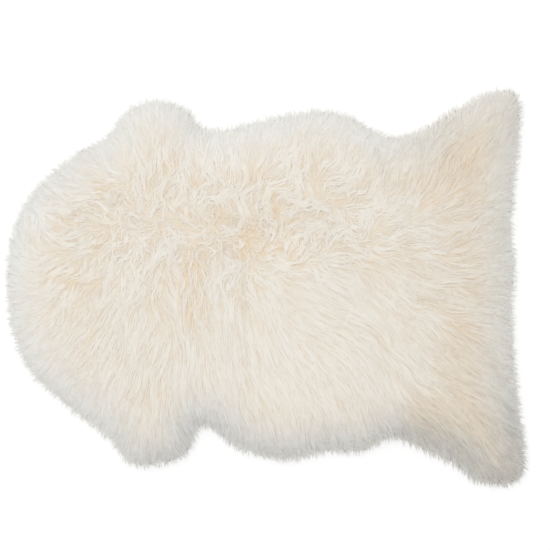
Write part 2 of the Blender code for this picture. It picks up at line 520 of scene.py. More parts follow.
def plan_locks(kind, roots, shortened=1.0, tips=HANG_TIPS, band=HANG_BAND, sunk=0.0):
    """Locks with these roots: their spines, and how curly, long, high up in the pile and lifted each is."""
    x, y = roots
    count = len(x)
    curl = read(curl_map, x, y)
    loose = 1 - read(order_map, x, y)
    swing = chance.normal(0, 1, count) * (SWING + SWING_CURLY * curl**2 + SWING_LOOSE * loose)
    reach = read(reach_map, x, y) * np.exp(chance.normal(0, UNEVEN_REACH, count)) * shortened
    edge = read(inset, x, y)
    hangs = chance.uniform(size=count) < 1 - smooth_step(ROOT_INSET, band, edge)
    tip_inset = chance.uniform(*tips, count)
    reach = np.where(hangs, np.maximum(edge - tip_inset, LEAST_REACH * reach), reach)

    for _ in range(FITTING_ROUNDS):
        spine_x, spine_y = [x], [y]
        for _ in range(kind.steps):
            turned = heading_at(spine_x[-1], spine_y[-1]) + swing
            spine_x.append(spine_x[-1] + np.cos(turned) * reach / kind.steps)
            spine_y.append(spine_y[-1] + np.sin(turned) * reach / kind.steps)
        # A lock at the edge is stretched or shortened until it ends where the tips of the pelt are
        gone = np.maximum(edge - read(inset, spine_x[-1], spine_y[-1]), LEAST_REACH * reach)
        wanted = np.clip((edge - tip_inset) / gone, *STRETCH)
        reach = reach * np.where(hangs, wanted, np.minimum(wanted, 1))
    level = HIGHEST - sunk - chance.uniform(size=count) * (LEVEL_RANGE + LEVEL_RANGE_CURLY * curl)
    hanging_level = HIGHEST - HANG_DROP * chance.uniform(0, 1, count) ** 2
    return dict(
        kind=kind,
        x=np.stack(spine_x, 1),
        y=np.stack(spine_y, 1),
        curl=curl,
        reach=reach,
        level=np.where(hangs, hanging_level, level),
        lift=np.where(hangs, chance.uniform(*HANG_LIFT, count), 0),
    )


roots = scattered(LOCK_STEP)
is_curly = read(curl_map, *roots) > CURLY_FROM
straight_locks = plan_locks(STRAIGHT, roots[:, ~is_curly])
curly_locks = plan_locks(CURLY, roots[:, is_curly])
print("straight locks:", len(straight_locks["curl"]), "curly locks:", len(curly_locks["curl"]))

# %% [markdown]
# ## Strands
#
# Each lock is a handful of strands. They start spread out at the roots, so that they cover the skin evenly,
# draw together towards the tip, and wave together. Their height runs from the under-wool up to the top of
# the pile, and falls with the pile over the edge.

# %% Spread the strands in their lock
STRAYS = 0.04
STRAY_FACTOR = 3.0
STRAND_LENGTHS = (0.82, 1.06)
TIP_SPREAD = 0.0006
TINY = 1e-9


def sides_of(locks):
    """The direction square to each lock's run, at each of its steps, as x and y."""
    run_x = np.gradient(locks["x"], axis=1)
    run_y = np.gradient(locks["y"], axis=1)
    size = np.maximum(np.hypot(run_x, run_y), TINY)
    return -run_y / size, run_x / size


def spread(locks, of_lock, t, stray):
    """Where each strand would run if it were straight, as x and y: its own root, length and tip."""
    count = len(of_lock)
    x, y = locks["x"][of_lock], locks["y"][of_lock]
    share = chance.uniform(*STRAND_LENGTHS, count)[:, None]
    x = x[:, :1] + (x - x[:, :1]) * share
    y = y[:, :1] + (y - y[:, :1]) * share

    angle = chance.uniform(0, 2 * np.pi, count)
    radius = locks["kind"].root_spread * np.sqrt(chance.uniform(0, 1, count))
    off_x, off_y = np.cos(angle) * radius, np.sin(angle) * radius
    tip_x, tip_y = chance.normal(0, TIP_SPREAD, (2, count)) * stray
    still_open = 1 - locks["kind"].closing * t
    x = x + off_x[:, None] * still_open + tip_x[:, None] * t
    y = y + off_y[:, None] * still_open + tip_y[:, None] * t
    return x, y


# %% Wave them, and raise them through the pile
RIPPLE_LENGTH = 0.045
RIPPLE = 3
WAVE_LENGTH = 0.030
WAVE_STRAIGHT = 0.0006
WAVE_CURLY = 0.0046
WAVE_AT_ROOT = 0.25
WAVE_HEIGHT = 0.25
UNEVEN_WAVE = 0.15
LOCK_SHIFT = 0.5
STRAND_SHIFT = 0.2
ROOT_DEPTH = 0.0015
RISE = 2.2
LEAST_RISE = 0.5
LEVEL_SPREAD = 0.005
ripple_map = noise_map(RIPPLE_LENGTH, layer=8.2)


def wave(locks, of_lock, t, stray):
    """How far round its wave each strand is at each ring, as an angle, and how wide the wave is there."""
    count = len(of_lock)
    amplitude = WAVE_STRAIGHT + WAVE_CURLY * locks["curl"][of_lock] ** CURL_POWER
    amplitude = amplitude * np.exp(chance.normal(0, UNEVEN_WAVE, count))
    turns = locks["reach"][of_lock] / WAVE_LENGTH
    shift = read(ripple_map, locks["x"][:, 0], locks["y"][:, 0]) * RIPPLE * np.pi
    shift += chance.normal(0, LOCK_SHIFT, len(shift))
    phase = shift[of_lock] + chance.normal(0, STRAND_SHIFT, count) * stray
    turn = 2 * np.pi * turns[:, None] * t + phase[:, None]
    swell = amplitude[:, None] * (WAVE_AT_ROOT + (1 - WAVE_AT_ROOT) * t) * stray[:, None] ** 0.5
    return turn, swell


def lay_strands(locks):
    """The centre line of every strand, as strands x rings x 3, and the number of its lock."""
    kind = locks["kind"]
    of_lock = np.repeat(np.arange(len(locks["curl"])), kind.strands)
    stray = np.where(chance.uniform(size=len(of_lock)) < STRAYS, STRAY_FACTOR, 1.0)
    t = np.linspace(0, 1, kind.steps + 1)[None, :]
    x, y = spread(locks, of_lock, t, stray)
    turn, swell = wave(locks, of_lock, t, stray)
    side_x, side_y = sides_of(locks)
    x = x + side_x[of_lock] * np.sin(turn) * swell
    y = y + side_y[of_lock] * np.sin(turn) * swell

    top = np.maximum(read(pile, x, y), locks["lift"][of_lock][:, None] * t)
    bottom = np.maximum(np.minimum(read(underwool_top, x, y), top) - ROOT_DEPTH, 0)
    level = locks["level"][of_lock] + chance.normal(0, LEVEL_SPREAD, len(of_lock)) * stray
    rise = np.sin(np.pi / 2 * np.minimum(1, RISE * t))
    z = bottom * (1 - rise) + np.maximum(top * level[:, None], LEAST_RISE * bottom) * rise
    z = z + np.cos(turn) * swell * WAVE_HEIGHT * rise
    return np.stack([x, y, z], -1), of_lock


# %% [markdown]
# Where the wool runs apart, at the crown and along the partings, no lock lies over its neighbour's roots and
# the under-wool would show. So the cover is measured: how many strands thick it is over each small square.
# Short locks are added wherever it is too thin.

# %% Measure the cover and fill the bald spots
LEAST_COVER = 4.0
WIDE = 1.4
MEAN_WIDTH = 0.7
SAMPLED_AT = (0.25, 0.75)
FILL_STEP = 0.0055
FILL_SHORTENED = 0.5
FILL_SUNK = 0.005
FRINGE_STEP = 0.0048
FRINGE_BAND = (0.005, 0.024)
FRINGE_TIPS = (-0.009, 0.004)
ALL_HANG = 10


def nearest_cells(places, centres):
    """The number of the row or column that each place is nearest to."""
    return np.clip(np.round((places - centres[0]) / CELL).astype(int), 0, len(centres) - 1)


def cover_of(batches):
    """How many strands lie over each cell of the map, on average."""
    cover = np.zeros(pile.shape)
    for locks, lines, _ in batches:
        steps = np.linalg.norm(np.diff(lines[:, :, :2], axis=1), axis=2)
        covered = steps * locks["kind"].radius * MEAN_WIDTH * WIDE / CELL**2
        for share in SAMPLED_AT:
            spots = lines[:, :-1] * (1 - share) + lines[:, 1:] * share
            column = nearest_cells(spots[:, :, 0], columns)
            row = nearest_cells(spots[:, :, 1], rows)
            np.add.at(cover, (row, column), covered)
    return cover


batches = [(locks, *lay_strands(locks)) for locks in (straight_locks, curly_locks)]
cover = cover_of(batches)
fill_roots = scattered(FILL_STEP)
thin = np.clip((LEAST_COVER - read(cover, *fill_roots)) / LEAST_COVER, 0, 1)
fill_roots = fill_roots[:, chance.uniform(size=len(thin)) < thin]
filling_locks = plan_locks(FILLING, fill_roots, FILL_SHORTENED, sunk=FILL_SUNK)
rim_roots = scattered(FRINGE_STEP, FRINGE_BAND[0])
rim_roots = rim_roots[:, read(inset, *rim_roots) < FRINGE_BAND[1]]
fringe_locks = plan_locks(FRINGE, rim_roots, tips=FRINGE_TIPS, band=ALL_HANG)
batches += [(locks, *lay_strands(locks)) for locks in (filling_locks, fringe_locks)]
over_hide = read(inset, *roots) > HIDE_INSET
print("cover before filling:", np.quantile(read(cover, *roots)[over_hide], (0.01, 0.1, 0.5, 0.9)).round(2))
for locks, lines, _ in batches:
    print(locks["kind"].name, "strands:", len(lines), "of", locks["kind"].steps, "steps")

# %% [markdown]
# ## From lines to hair
#
# A strand is a thin, flattened tube of three sides, closed at both ends and drawn out to a point. Modelling
# one by hand and copying it tens of thousands of times would be slow, so one strand's faces are written down
# once, as a pattern of numbered corners, and the same pattern is stamped over the rings of all the strands at
# once. The strand's own UV map holds its colour: across is how light the hair is, and up is how creamy.

# %% The pattern of one strand
SIDES = 3


def strand_pattern(steps):
    """The triangles of one strand as corner numbers, and for each corner its place across and along."""
    corners, places = [], []
    tip = steps * SIDES
    corners.append((0, 2, 1))
    places.append(((0.5, 0), (0.5, 0), (0.5, 0)))
    for ring in range(steps):
        for side in range(SIDES):
            a, b = ring * SIDES + side, ring * SIDES + (side + 1) % SIDES
            left, right = side / SIDES, (side + 1) / SIDES
            start, end = ring / steps, (ring + 1) / steps
            if ring == steps - 1:
                corners.append((a, b, tip))
                places.append(((left, start), (right, start), ((left + right) / 2, end)))
            else:
                corners.append((a, b, b + SIDES))
                places.append(((left, start), (right, start), (right, end)))
                corners.append((a, b + SIDES, a + SIDES))
                places.append(((left, start), (right, end), (left, end)))
    return np.array(corners), np.array(places)


# %% Build the tubes
FLAT = 0.4
TAPER = 0.6
FLOOR_CLEARANCE = 0.0003


def unit(vectors):
    """The same directions, each one unit long."""
    return vectors / np.maximum(np.linalg.norm(vectors, axis=-1, keepdims=True), TINY)


def tube_points(lines, radii):
    """The corners of every strand, ring by ring and then the tip, as strands x corners x 3."""
    steps = lines.shape[1] - 1
    tangent = unit(np.gradient(lines, axis=1))
    side = unit(np.cross(tangent, (0, 0, 1.0)))
    over = np.cross(side, tangent)
    rings = []
    for i in range(steps):
        taper = 1 - TAPER * (i / steps) ** 2
        for corner in range(SIDES):
            angle = np.pi / 2 - 2 * np.pi * corner / SIDES
            off = side[:, i] * math.cos(angle) * WIDE + over[:, i] * math.sin(angle) * FLAT
            rings.append(lines[:, i] + off * (radii * taper)[:, None])
    rings.append(lines[:, steps])
    points = np.stack(rings, 1)
    points[:, :, 2] = np.maximum(points[:, :, 2], FLOOR_CLEARANCE)
    return points


# %% [markdown]
# ## Cream, and where it is deeper
#
# A fleece isn't one colour. The tips round the edge are bleached to a neutral white, clean wool is cream, and
# its grease yellows it where it lies deepest, at the crown and in the partings. One number tells them apart:
# 0 is bleached, about a half is cream and 1 is all grease. A second number is the wool's tone, which painted
# shade lowers at the rim, deepest along the near side, and along the partings. The hind legs are darker,
# partly soiled and partly painted shade. A table of soft round patches says how much creamier each place is
# and how much darker, mostly by painted shade, and a short table of partings says the same along a line.

# %% Creamy and dark patches
Patch = namedtuple("Patch", "place x y reach cream shade")
# The shade column is painted shade, and painted light where it is below 0; on the hip and the hind legs part
# of it is soil
PATCHES = (
    Patch("crown", -0.01, 0.07, 0.034, 0.00, 0.05),
    Patch("spine", 0.03, 0.12, 0.070, 0.00, -0.12),
    Patch("behind the nape", -0.31, 0.01, 0.035, 0.06, 0.00),
    Patch("withers", -0.13, -0.01, 0.035, 0.06, 0.00),
    Patch("elbow", -0.20, -0.13, 0.020, 0.06, 0.00),
    Patch("lower fore leg", -0.21, -0.22, 0.040, 0.06, 0.00),
    Patch("neck", -0.38, 0.00, 0.100, 0.00, 0.01),
    Patch("neck, top edge", -0.33, 0.20, 0.080, 0.00, 0.10),
    Patch("neck, front", -0.40, 0.08, 0.030, -0.06, -0.05),
    Patch("fan", 0.05, -0.09, 0.090, -0.05, -0.12),
    Patch("hip", 0.32, 0.00, 0.090, 0.05, 0.08),
    Patch("upper hind leg", 0.36, 0.22, 0.070, 0.12, 0.06),
    Patch("upper hind leg, edge", 0.30, 0.25, 0.050, 0.21, 0.24),
    Patch("upper hind leg, tip", 0.41, 0.31, 0.045, 0.16, 0.20),
    Patch("belly, edge", 0.03, -0.27, 0.060, 0.06, 0.00),
    Patch("belly, rear edge", 0.14, -0.26, 0.060, 0.06, 0.00),
    Patch("thigh", 0.35, -0.16, 0.075, 0.12, 0.14),
    Patch("thigh, edge", 0.27, -0.24, 0.040, 0.20, 0.13),
    Patch("lower hind leg", 0.36, -0.27, 0.060, 0.17, 0.19),
    Patch("lower hind leg, tip", 0.42, -0.33, 0.040, 0.22, 0.17),
    Patch("tail, upper edge", 0.385, 0.12, 0.050, 0.09, 0.11),
    Patch("tail, edge", 0.385, 0.00, 0.050, 0.09, 0.11),
    Patch("tail, lower edge", 0.385, -0.12, 0.050, 0.09, 0.11),
)

# %% Partings, and the painted shade at the rim
Parting = namedtuple("Parting", "place line width cream shade")
# A parting's cream is grease, and its shade is painted shade in the groove
PARTINGS = (
    Parting("elbow to belly", ((-0.038, 0.060), (-0.039, -0.022), (-0.030, -0.165)), 0.006, 0.12, 0.26),
    Parting("hip", ((0.186, 0.237), (0.212, 0.180)), 0.006, 0.02, 0.26),
)
PARTING_SWAY = 0.004
CREAM = 0.425
PATCHY = 0.12
PATCHY_LENGTH = 0.050
PALE_RIM = (-0.006, 0.085)
# Painted shade along the rim, and wider along the near side, where the pile turns down away from the window
PAINTED_RIM_BAND = (0.000, 0.078)
PAINTED_NEAR_SIDE_BAND = (0.000, 0.125)
PAINTED_RIM_SHADE = 0.255
PAINTED_NEAR_SIDE_SHADE = 0.38
LOW_SIDE = (-0.26, -0.10)
FRONT_SIDE = (-0.30, -0.16)
FRONT_SPARED = 0.6
OUTERMOST = 0.022
OUTERMOST_SPARED = 0.35
DEEPEST_SHADE = 0.75
patchy_map = noise_map(PATCHY_LENGTH, layer=1.3)


def near_parting(parting, x, y):
    """How near each x and y is to a parting's line: 1 is on it, and it fades across the parting's width."""
    x = x + PARTING_SWAY * read(patchy_map, x, y)
    near = np.zeros(np.shape(x))
    for (x0, y0), (x1, y1) in zip(parting.line, parting.line[1:]):
        along = ((x - x0) * (x1 - x0) + (y - y0) * (y1 - y0)) / ((x1 - x0) ** 2 + (y1 - y0) ** 2)
        along = along.clip(0, 1)
        distance = np.hypot(x - x0 - along * (x1 - x0), y - y0 - along * (y1 - y0))
        near = np.maximum(near, np.exp(-((distance / parting.width) ** 2)))
    return near


def colour_at(x, y, deeper):
    """How creamy and how dark the wool is at each x and y. What it gains by being deeper fades at the rim."""
    edge = read(inset, x, y)
    cream = CREAM + PATCHY * read(patchy_map, x, y) + deeper
    cream *= smooth_step(*PALE_RIM, edge)
    # Painted shade: a band along the rim and a wider one on the near side darken the wool where it turns down
    rim = 1 - smooth_step(*PAINTED_RIM_BAND, edge)
    near_side_painted_shade = (1 - smooth_step(*PAINTED_NEAR_SIDE_BAND, edge)) * (1 - smooth_step(*LOW_SIDE, y))
    near_side_painted_shade *= 1 - FRONT_SPARED * (1 - smooth_step(*FRONT_SIDE, x))
    shade = PAINTED_RIM_SHADE * rim + PAINTED_NEAR_SIDE_SHADE * near_side_painted_shade
    # The patches add painted shade, with some soil on the hind legs, and the partings add painted shade in
    # their grooves
    for patch in PATCHES:
        weight = np.exp(-((x - patch.x) ** 2 + (y - patch.y) ** 2) / (2 * patch.reach**2))
        cream += weight * patch.cream
        shade += weight * patch.shade
    for parting in PARTINGS:
        weight = near_parting(parting, x, y)
        cream += weight * parting.cream
        shade += weight * parting.shade
    outermost = 1 - smooth_step(0, OUTERMOST, edge)
    return cream, np.minimum(shade * (1 - OUTERMOST_SPARED * outermost), DEEPEST_SHADE)


# %% [markdown]
# Grease also sits in small deep stains. The larger ones are placed at the crown, along the partings and
# wherever the wool opens. Between them noise adds flecks, the more of them the curlier the wool is.

# %% Stains of grease
Stain = namedtuple("Stain", "place x y reach depth")
STAINS = (
    Stain("crown, left, upper", -0.035, 0.085, 0.011, 1.0),
    Stain("crown, left, lower", -0.035, 0.055, 0.011, 1.0),
    Stain("crown, right", 0.012, 0.072, 0.020, 0.9),
    Stain("crown, top", -0.025, 0.107, 0.008, 0.9),
    Stain("above the crown", 0.013, 0.126, 0.008, 0.8),
    Stain("above the crown, upper", 0.013, 0.155, 0.008, 0.6),
    Stain("crown, lower right", 0.048, 0.050, 0.008, 0.7),
    Stain("spine, middle", 0.100, 0.126, 0.009, 0.6),
    Stain("spine, rear", 0.130, 0.145, 0.009, 0.6),
    Stain("withers, lower", -0.130, -0.010, 0.018, 0.8),
    Stain("withers, lowest", -0.125, -0.042, 0.013, 0.9),
    Stain("elbow, back", -0.135, -0.066, 0.009, 0.7),
    Stain("withers, front", -0.160, 0.010, 0.009, 0.7),
    Stain("withers", -0.125, 0.045, 0.012, 0.8),
    Stain("withers, upper", -0.125, 0.173, 0.010, 0.8),
    Stain("shoulder", -0.172, 0.105, 0.009, 0.5),
    Stain("upper fore leg", -0.175, 0.210, 0.010, 0.7),
    Stain("back, front", -0.022, 0.190, 0.009, 0.8),
    Stain("nape, top", -0.285, 0.162, 0.010, 0.9),
    Stain("nape, upper", -0.350, 0.118, 0.009, 0.7),
    Stain("nape, upper back", -0.327, 0.117, 0.008, 0.7),
    Stain("neck, front", -0.393, 0.085, 0.009, 0.9),
    Stain("neck, middle", -0.362, 0.065, 0.009, 0.5),
    Stain("nape, middle", -0.288, 0.068, 0.009, 0.7),
    Stain("nape, lower front", -0.370, 0.015, 0.008, 0.7),
    Stain("nape, lower", -0.332, 0.012, 0.013, 0.9),
    Stain("neck, lower", -0.340, -0.050, 0.010, 0.5),
    Stain("elbow", -0.200, -0.115, 0.013, 0.6),
    Stain("belly, front", -0.065, -0.130, 0.012, 0.5),
    Stain("belly, front edge", -0.035, -0.180, 0.012, 0.4),
    Stain("loin, parting, upper", 0.190, -0.070, 0.010, 0.6),
    Stain("loin, parting", 0.200, -0.097, 0.010, 0.8),
    Stain("loin, parting, lower", 0.210, -0.130, 0.010, 0.6),
    Stain("loin, upper", 0.185, 0.045, 0.009, 0.6),
    Stain("hip, upper", 0.220, 0.105, 0.009, 0.6),
    Stain("hip", 0.270, 0.072, 0.009, 0.6),
    Stain("thigh, lower", 0.300, -0.210, 0.012, 0.6),
    Stain("thigh, edge", 0.255, -0.220, 0.012, 0.5),
    Stain("upper hind leg", 0.335, 0.220, 0.018, 0.4),
    Stain("tail, upper", 0.380, 0.125, 0.012, 0.4),
)
FLECKS = 1.5
FLECK_LENGTH = 0.012
FLECK_FROM = 0.16
fleck_map = noise_map(FLECK_LENGTH, layer=5.9)
print("patches:", len(PATCHES), "partings:", len(PARTINGS), "stains:", len(STAINS))


def stain_at(x, y):
    """How deep the grease sits in the wool at each x and y, from 0 to 1."""
    depth = FLECKS * read(curl_map, x, y) * np.maximum(read(fleck_map, x, y) - FLECK_FROM, 0)
    for stain in STAINS:
        depth += stain.depth * np.exp(-((x - stain.x) ** 2 + (y - stain.y) ** 2) / (2 * stain.reach**2))
    return np.clip(depth, 0, 1)


# %% [markdown]
# ## The wool itself
#
# Now the strands get their thickness and their colour. Locks differ in tone, curly ones most, and each strand
# differs a little from its lock. Dark ones are creamier, and so are roots and the locks that lie low. The
# wool is then shared out along the rug over six pieces with about as many triangles each, so that none of
# them is too large to handle.

# %% Grow the strands
UNEVEN_RADIUS = 0.2
TONE = 0.80
LOCK_TONE = 0.025
LOCK_TONE_CURLY = 0.12
STRAND_TONE = 0.04
ROOT_CREAM = 0.13
DEEP_CREAM = 0.08
TONE_CREAM = 0.60
STRAND_CREAM = 0.02
STAINED = 0.35
UNSTAINED_GREASE = 0.15
STRAND_GREASE = (0.5, 1.2)
TOP_GREASE = 0.5
FILL_STAIN = 0.15
STAIN_CREAM = 0.78


def grow(locks, lines, of_lock):
    """The strands of these locks, as a dict of their points, pattern and colour steps."""
    count = len(lines)
    radii = locks["kind"].radius * np.exp(chance.normal(0, UNEVEN_RADIUS, count))
    lock_count = len(locks["curl"])
    lock_tone = chance.normal(0, 1, lock_count) * (LOCK_TONE + LOCK_TONE_CURLY * locks["curl"])
    tone = (lock_tone[of_lock] + chance.normal(0, STRAND_TONE, count))[:, None]
    depth = ((HIGHEST - locks["level"]) / (LEVEL_RANGE + LEVEL_RANGE_CURLY)).clip(0, 1)[of_lock, None]
    root = np.maximum(1 - RISE * np.linspace(0, 1, locks["kind"].steps + 1), 0)
    deeper = ROOT_CREAM * root + DEEP_CREAM * depth - TONE_CREAM * tone
    # shade is painted shade at the rim, the partings and the patches, with some soil on the hind legs
    cream, shade = colour_at(lines[:, :, 0], lines[:, :, 1], deeper)
    greasy = np.where(chance.uniform(size=lock_count) < STAINED, 1.0, UNSTAINED_GREASE)[of_lock, None]
    greasy = greasy * chance.uniform(*STRAND_GREASE, (count, 1)) * (TOP_GREASE + depth) * locks["kind"].grease
    stain = stain_at(lines[:, :, 0], lines[:, :, 1]) * greasy
    stain = np.maximum(stain, FILL_STAIN * (locks["kind"] is FILLING))
    cream += chance.normal(0, STRAND_CREAM, (count, 1)) + STAIN_CREAM * stain
    return dict(
        points=tube_points(lines, radii),
        root=lines[:, 0, 0],
        steps=locks["kind"].steps,
        cream=cream,
        tone=TONE + tone - shade,
        pattern=strand_pattern(locks["kind"].steps),
    )


# %% Bend their normals
SOFTNESS = 0.95
LEAN = 0.9


def bent_normals(mesh, points):
    """A normal for every corner of every triangle, so that thin hair shades softly from above.

    Where a face looks up, the strand's own normals lean towards that of the whole pile. Where it looks down,
    they stay as the face is, because a bent one would point away from whoever looks at it from below.
    """
    own = np.empty(len(points) * 3, np.float32)
    mesh.vertices.foreach_get("normal", own)
    rise_y, rise_x = (read(slopes, points[:, 0], points[:, 1]) for slopes in pile_slopes)
    up = unit(np.stack([-rise_x * LEAN, -rise_y * LEAN, np.ones(len(points))], -1))
    bent = unit(own.reshape(-1, 3) * (1 - SOFTNESS) + up * SOFTNESS)
    corners = np.empty(len(mesh.loops), np.int32)
    mesh.loops.foreach_get("vertex_index", corners)
    faces = np.empty(len(mesh.polygons) * 3, np.float32)
    mesh.polygons.foreach_get("normal", faces)
    faces = np.repeat(faces.reshape(-1, 3), 3, axis=0)
    return np.where(faces[:, 2:] < 0, faces, bent[corners])


# %% Stamp the meshes
UV_MAP = "OFBake"
UV_WIDTH = 0.03
UV_RANGE = (0.001, 0.999)
PIECES = ("neck_locks", "nape_locks", "shoulder_locks", "back_locks", "loin_locks", "rump_locks")


def strand_mesh(name, batches):
    """One mesh of these batches of strands, with their colour in the UV map."""
    points, corners, uvs = [], [], []
    first = 0
    for batch in batches:
        count, each = batch["points"].shape[:2]
        pattern, places = batch["pattern"]
        corners.append((first + np.arange(count)[:, None, None] * each + pattern).ravel())
        ring = np.rint(places[:, :, 1] * batch["steps"]).astype(int)
        tone = batch["tone"][:, ring] + UV_WIDTH * (places[:, :, 0] - 0.5)
        uvs.append(np.stack([tone, batch["cream"][:, ring]], -1).clip(*UV_RANGE).reshape(-1))
        points.append(batch["points"].reshape(-1, 3))
        first += count * each
    points = np.concatenate(points)
    corners = np.concatenate(corners)
    mesh = bpy.data.meshes.new(name)
    mesh.vertices.add(first)
    mesh.vertices.foreach_set("co", points.astype(np.float32).ravel())
    mesh.loops.add(len(corners))
    mesh.loops.foreach_set("vertex_index", corners.astype(np.int32))
    mesh.polygons.add(len(corners) // 3)
    mesh.polygons.foreach_set("loop_start", np.arange(0, len(corners), 3, dtype=np.int32))
    mesh.update(calc_edges=True)
    uv = mesh.uv_layers.new(name=UV_MAP)
    uv.data.foreach_set("uv", np.concatenate(uvs).astype(np.float32))
    mesh.shade_smooth()
    mesh.validate()
    mesh.normals_split_custom_set(bent_normals(mesh, points).tolist())
    return mesh


def make_wool():
    """The pieces of wool. They meet along lines across the rug, and a strand goes where its root is."""
    grown = [grow(*batch) for batch in batches]
    weighed = np.concatenate([np.repeat(batch["root"], batch["steps"]) for batch in grown])
    bounds = np.quantile(weighed, np.linspace(0, 1, len(PIECES) + 1))
    # The last piece also takes the very last strand
    bounds[-1] = np.inf
    made = []
    for name, start, end in zip(PIECES, bounds, bounds[1:]):
        mine = []
        for batch in grown:
            here = (batch["root"] >= start) & (batch["root"] < end)
            mine.append(dict(batch, **{part: batch[part][here] for part in ("points", "cream", "tone")}))
        obj = bpy.data.objects.new(name, strand_mesh(name, mine))
        bpy.context.collection.objects.link(obj)
        made.append(obj)
    return made


wool = make_wool()
for obj in wool:
    print(obj.name, triangles(obj), "triangles")
print("in all", sum(triangles(obj) for obj in (*wool, hide, underwool)))

# %% [markdown]
# ## The colour of wool
#
# One node group turns the two numbers into a colour, so that all the layers agree. A ramp runs from bleached
# white through cream to the gold of the grease, and a tone below 1 darkens it, slowly at first. The locks
# read both numbers from their UV map, and the under-wool reads them from its points.

# %% Helpers for nodes
def set_or_link(links, end, value):
    """Gives an input a value, or links it to an output."""
    if isinstance(value, bpy.types.NodeSocket):
        links.new(value, end)
    else:
        end.default_value = value


def mix_colour(nodes, links, factor, a, b, blend="MIX"):
    node = nodes.new("ShaderNodeMix")
    node.data_type = "RGBA"
    node.blend_type = blend
    for slot, value in (("Factor", factor), ("A", a), ("B", b)):
        end = next(s for s in node.inputs if s.name == slot and s.enabled)
        set_or_link(links, end, value)
    return next(s for s in node.outputs if s.enabled)


def math_node(nodes, links, operation, *values):
    node = nodes.new("ShaderNodeMath")
    node.operation = operation
    for end, value in zip(node.inputs, values):
        set_or_link(links, end, value)
    return node.outputs[0]


def add_noise(nodes, links, scale, detail):
    """Noise that stays where it is on the piece."""
    texture = nodes.new("ShaderNodeTexNoise")
    texture.inputs["Scale"].default_value = scale
    texture.inputs["Detail"].default_value = detail
    links.new(nodes.new("ShaderNodeTexCoord").outputs["Object"], texture.inputs["Vector"])
    return texture.outputs[0]


def add_bump(nodes, links, shader, height, strength, distance):
    bump = nodes.new("ShaderNodeBump")
    bump.inputs["Strength"].default_value = strength
    bump.inputs["Distance"].default_value = distance
    links.new(height, bump.inputs["Height"])
    links.new(bump.outputs[0], shader["Normal"])


# %% The wool colour group
BLEACHED = (0.957, 0.957, 0.910, 1)
CLEAN = (0.947, 0.876, 0.745, 1)
GREASY = (0.910, 0.688, 0.402, 1)
CLEAN_AT = 0.5
DARKEST = 0.50


def wool_colour_group():
    group = bpy.data.node_groups.new("wool colour", "ShaderNodeTree")
    for name in ("Cream", "Tone"):
        group.interface.new_socket(name=name, in_out="INPUT", socket_type="NodeSocketFloat")
    group.interface.new_socket(name="Colour", in_out="OUTPUT", socket_type="NodeSocketColor")
    nodes, links = group.nodes, group.links
    given = nodes.new("NodeGroupInput").outputs
    put_out = nodes.new("NodeGroupOutput").inputs
    ramp = nodes.new("ShaderNodeValToRGB")
    links.new(given["Cream"], ramp.inputs[0])
    ramp.color_ramp.elements[0].color = BLEACHED
    ramp.color_ramp.elements[1].color = GREASY
    ramp.color_ramp.elements.new(CLEAN_AT).color = CLEAN
    dark = math_node(nodes, links, "SUBTRACT", 1.0, given["Tone"])
    dark.node.use_clamp = True
    slow = math_node(nodes, links, "MULTIPLY", dark, dark)
    light = math_node(nodes, links, "MULTIPLY_ADD", slow, -DARKEST, 1.0)
    shaded = nodes.new("ShaderNodeVectorMath")
    shaded.operation = "SCALE"
    links.new(ramp.outputs["Color"], shaded.inputs[0])
    links.new(light, shaded.inputs["Scale"])
    links.new(shaded.outputs[0], put_out["Colour"])
    return group


wool_colour = wool_colour_group()
print("group:", wool_colour.name, [s.name for s in wool_colour.interface.items_tree])


# %% The locks' material
def new_material(name):
    """A material with its nodes, its links and the inputs of its shader."""
    material = bpy.data.materials.new(name)
    material.use_nodes = True
    nodes, links = material.node_tree.nodes, material.node_tree.links
    return material, nodes, links, nodes["Principled BSDF"].inputs


def place_wool_colour(nodes, links, cream, tone):
    placed = nodes.new("ShaderNodeGroup")
    placed.node_tree = wool_colour
    links.new(cream, placed.inputs["Cream"])
    links.new(tone, placed.inputs["Tone"])
    return placed.outputs["Colour"]


def make_lock_material():
    material, nodes, links, shader = new_material("wool locks")
    uv = nodes.new("ShaderNodeUVMap")
    uv.uv_map = UV_MAP
    split = nodes.new("ShaderNodeSeparateXYZ")
    links.new(uv.outputs["UV"], split.inputs[0])
    colour = place_wool_colour(nodes, links, split.outputs["Y"], split.outputs["X"])
    links.new(colour, shader["Base Color"])
    shader["Roughness"].default_value = 0.65
    shader["Specular IOR Level"].default_value = 0.25
    return material


lock_material = make_lock_material()
for obj in wool:
    obj.data.materials.append(lock_material)


# %% [markdown]
# The under-wool takes its cream and tone from the same tables, as numbers stored at its points. It lies
# deeper than the locks, so painted shade makes it a little darker and grease makes it warmer, and a fine
# noise stands for its short fibres.

# %% The under-wool's material
# Painted shade: this colour darkens the under-wool a little where it shows between the locks, and grease
# warms it
UNDERWOOL_SHADE_AND_GREASE = (0.92, 0.895, 0.85, 1)
UNDERWOOL_STAIN = 0.28
MEAN_NOISE = 0.5


def store(mesh, name, values):
    attribute = mesh.attributes.new(name, "FLOAT", "POINT")
    attribute.data.foreach_set("value", values.astype(np.float32))


def stored(nodes, name):
    node = nodes.new("ShaderNodeAttribute")
    node.attribute_name = name
    return node.outputs["Fac"]


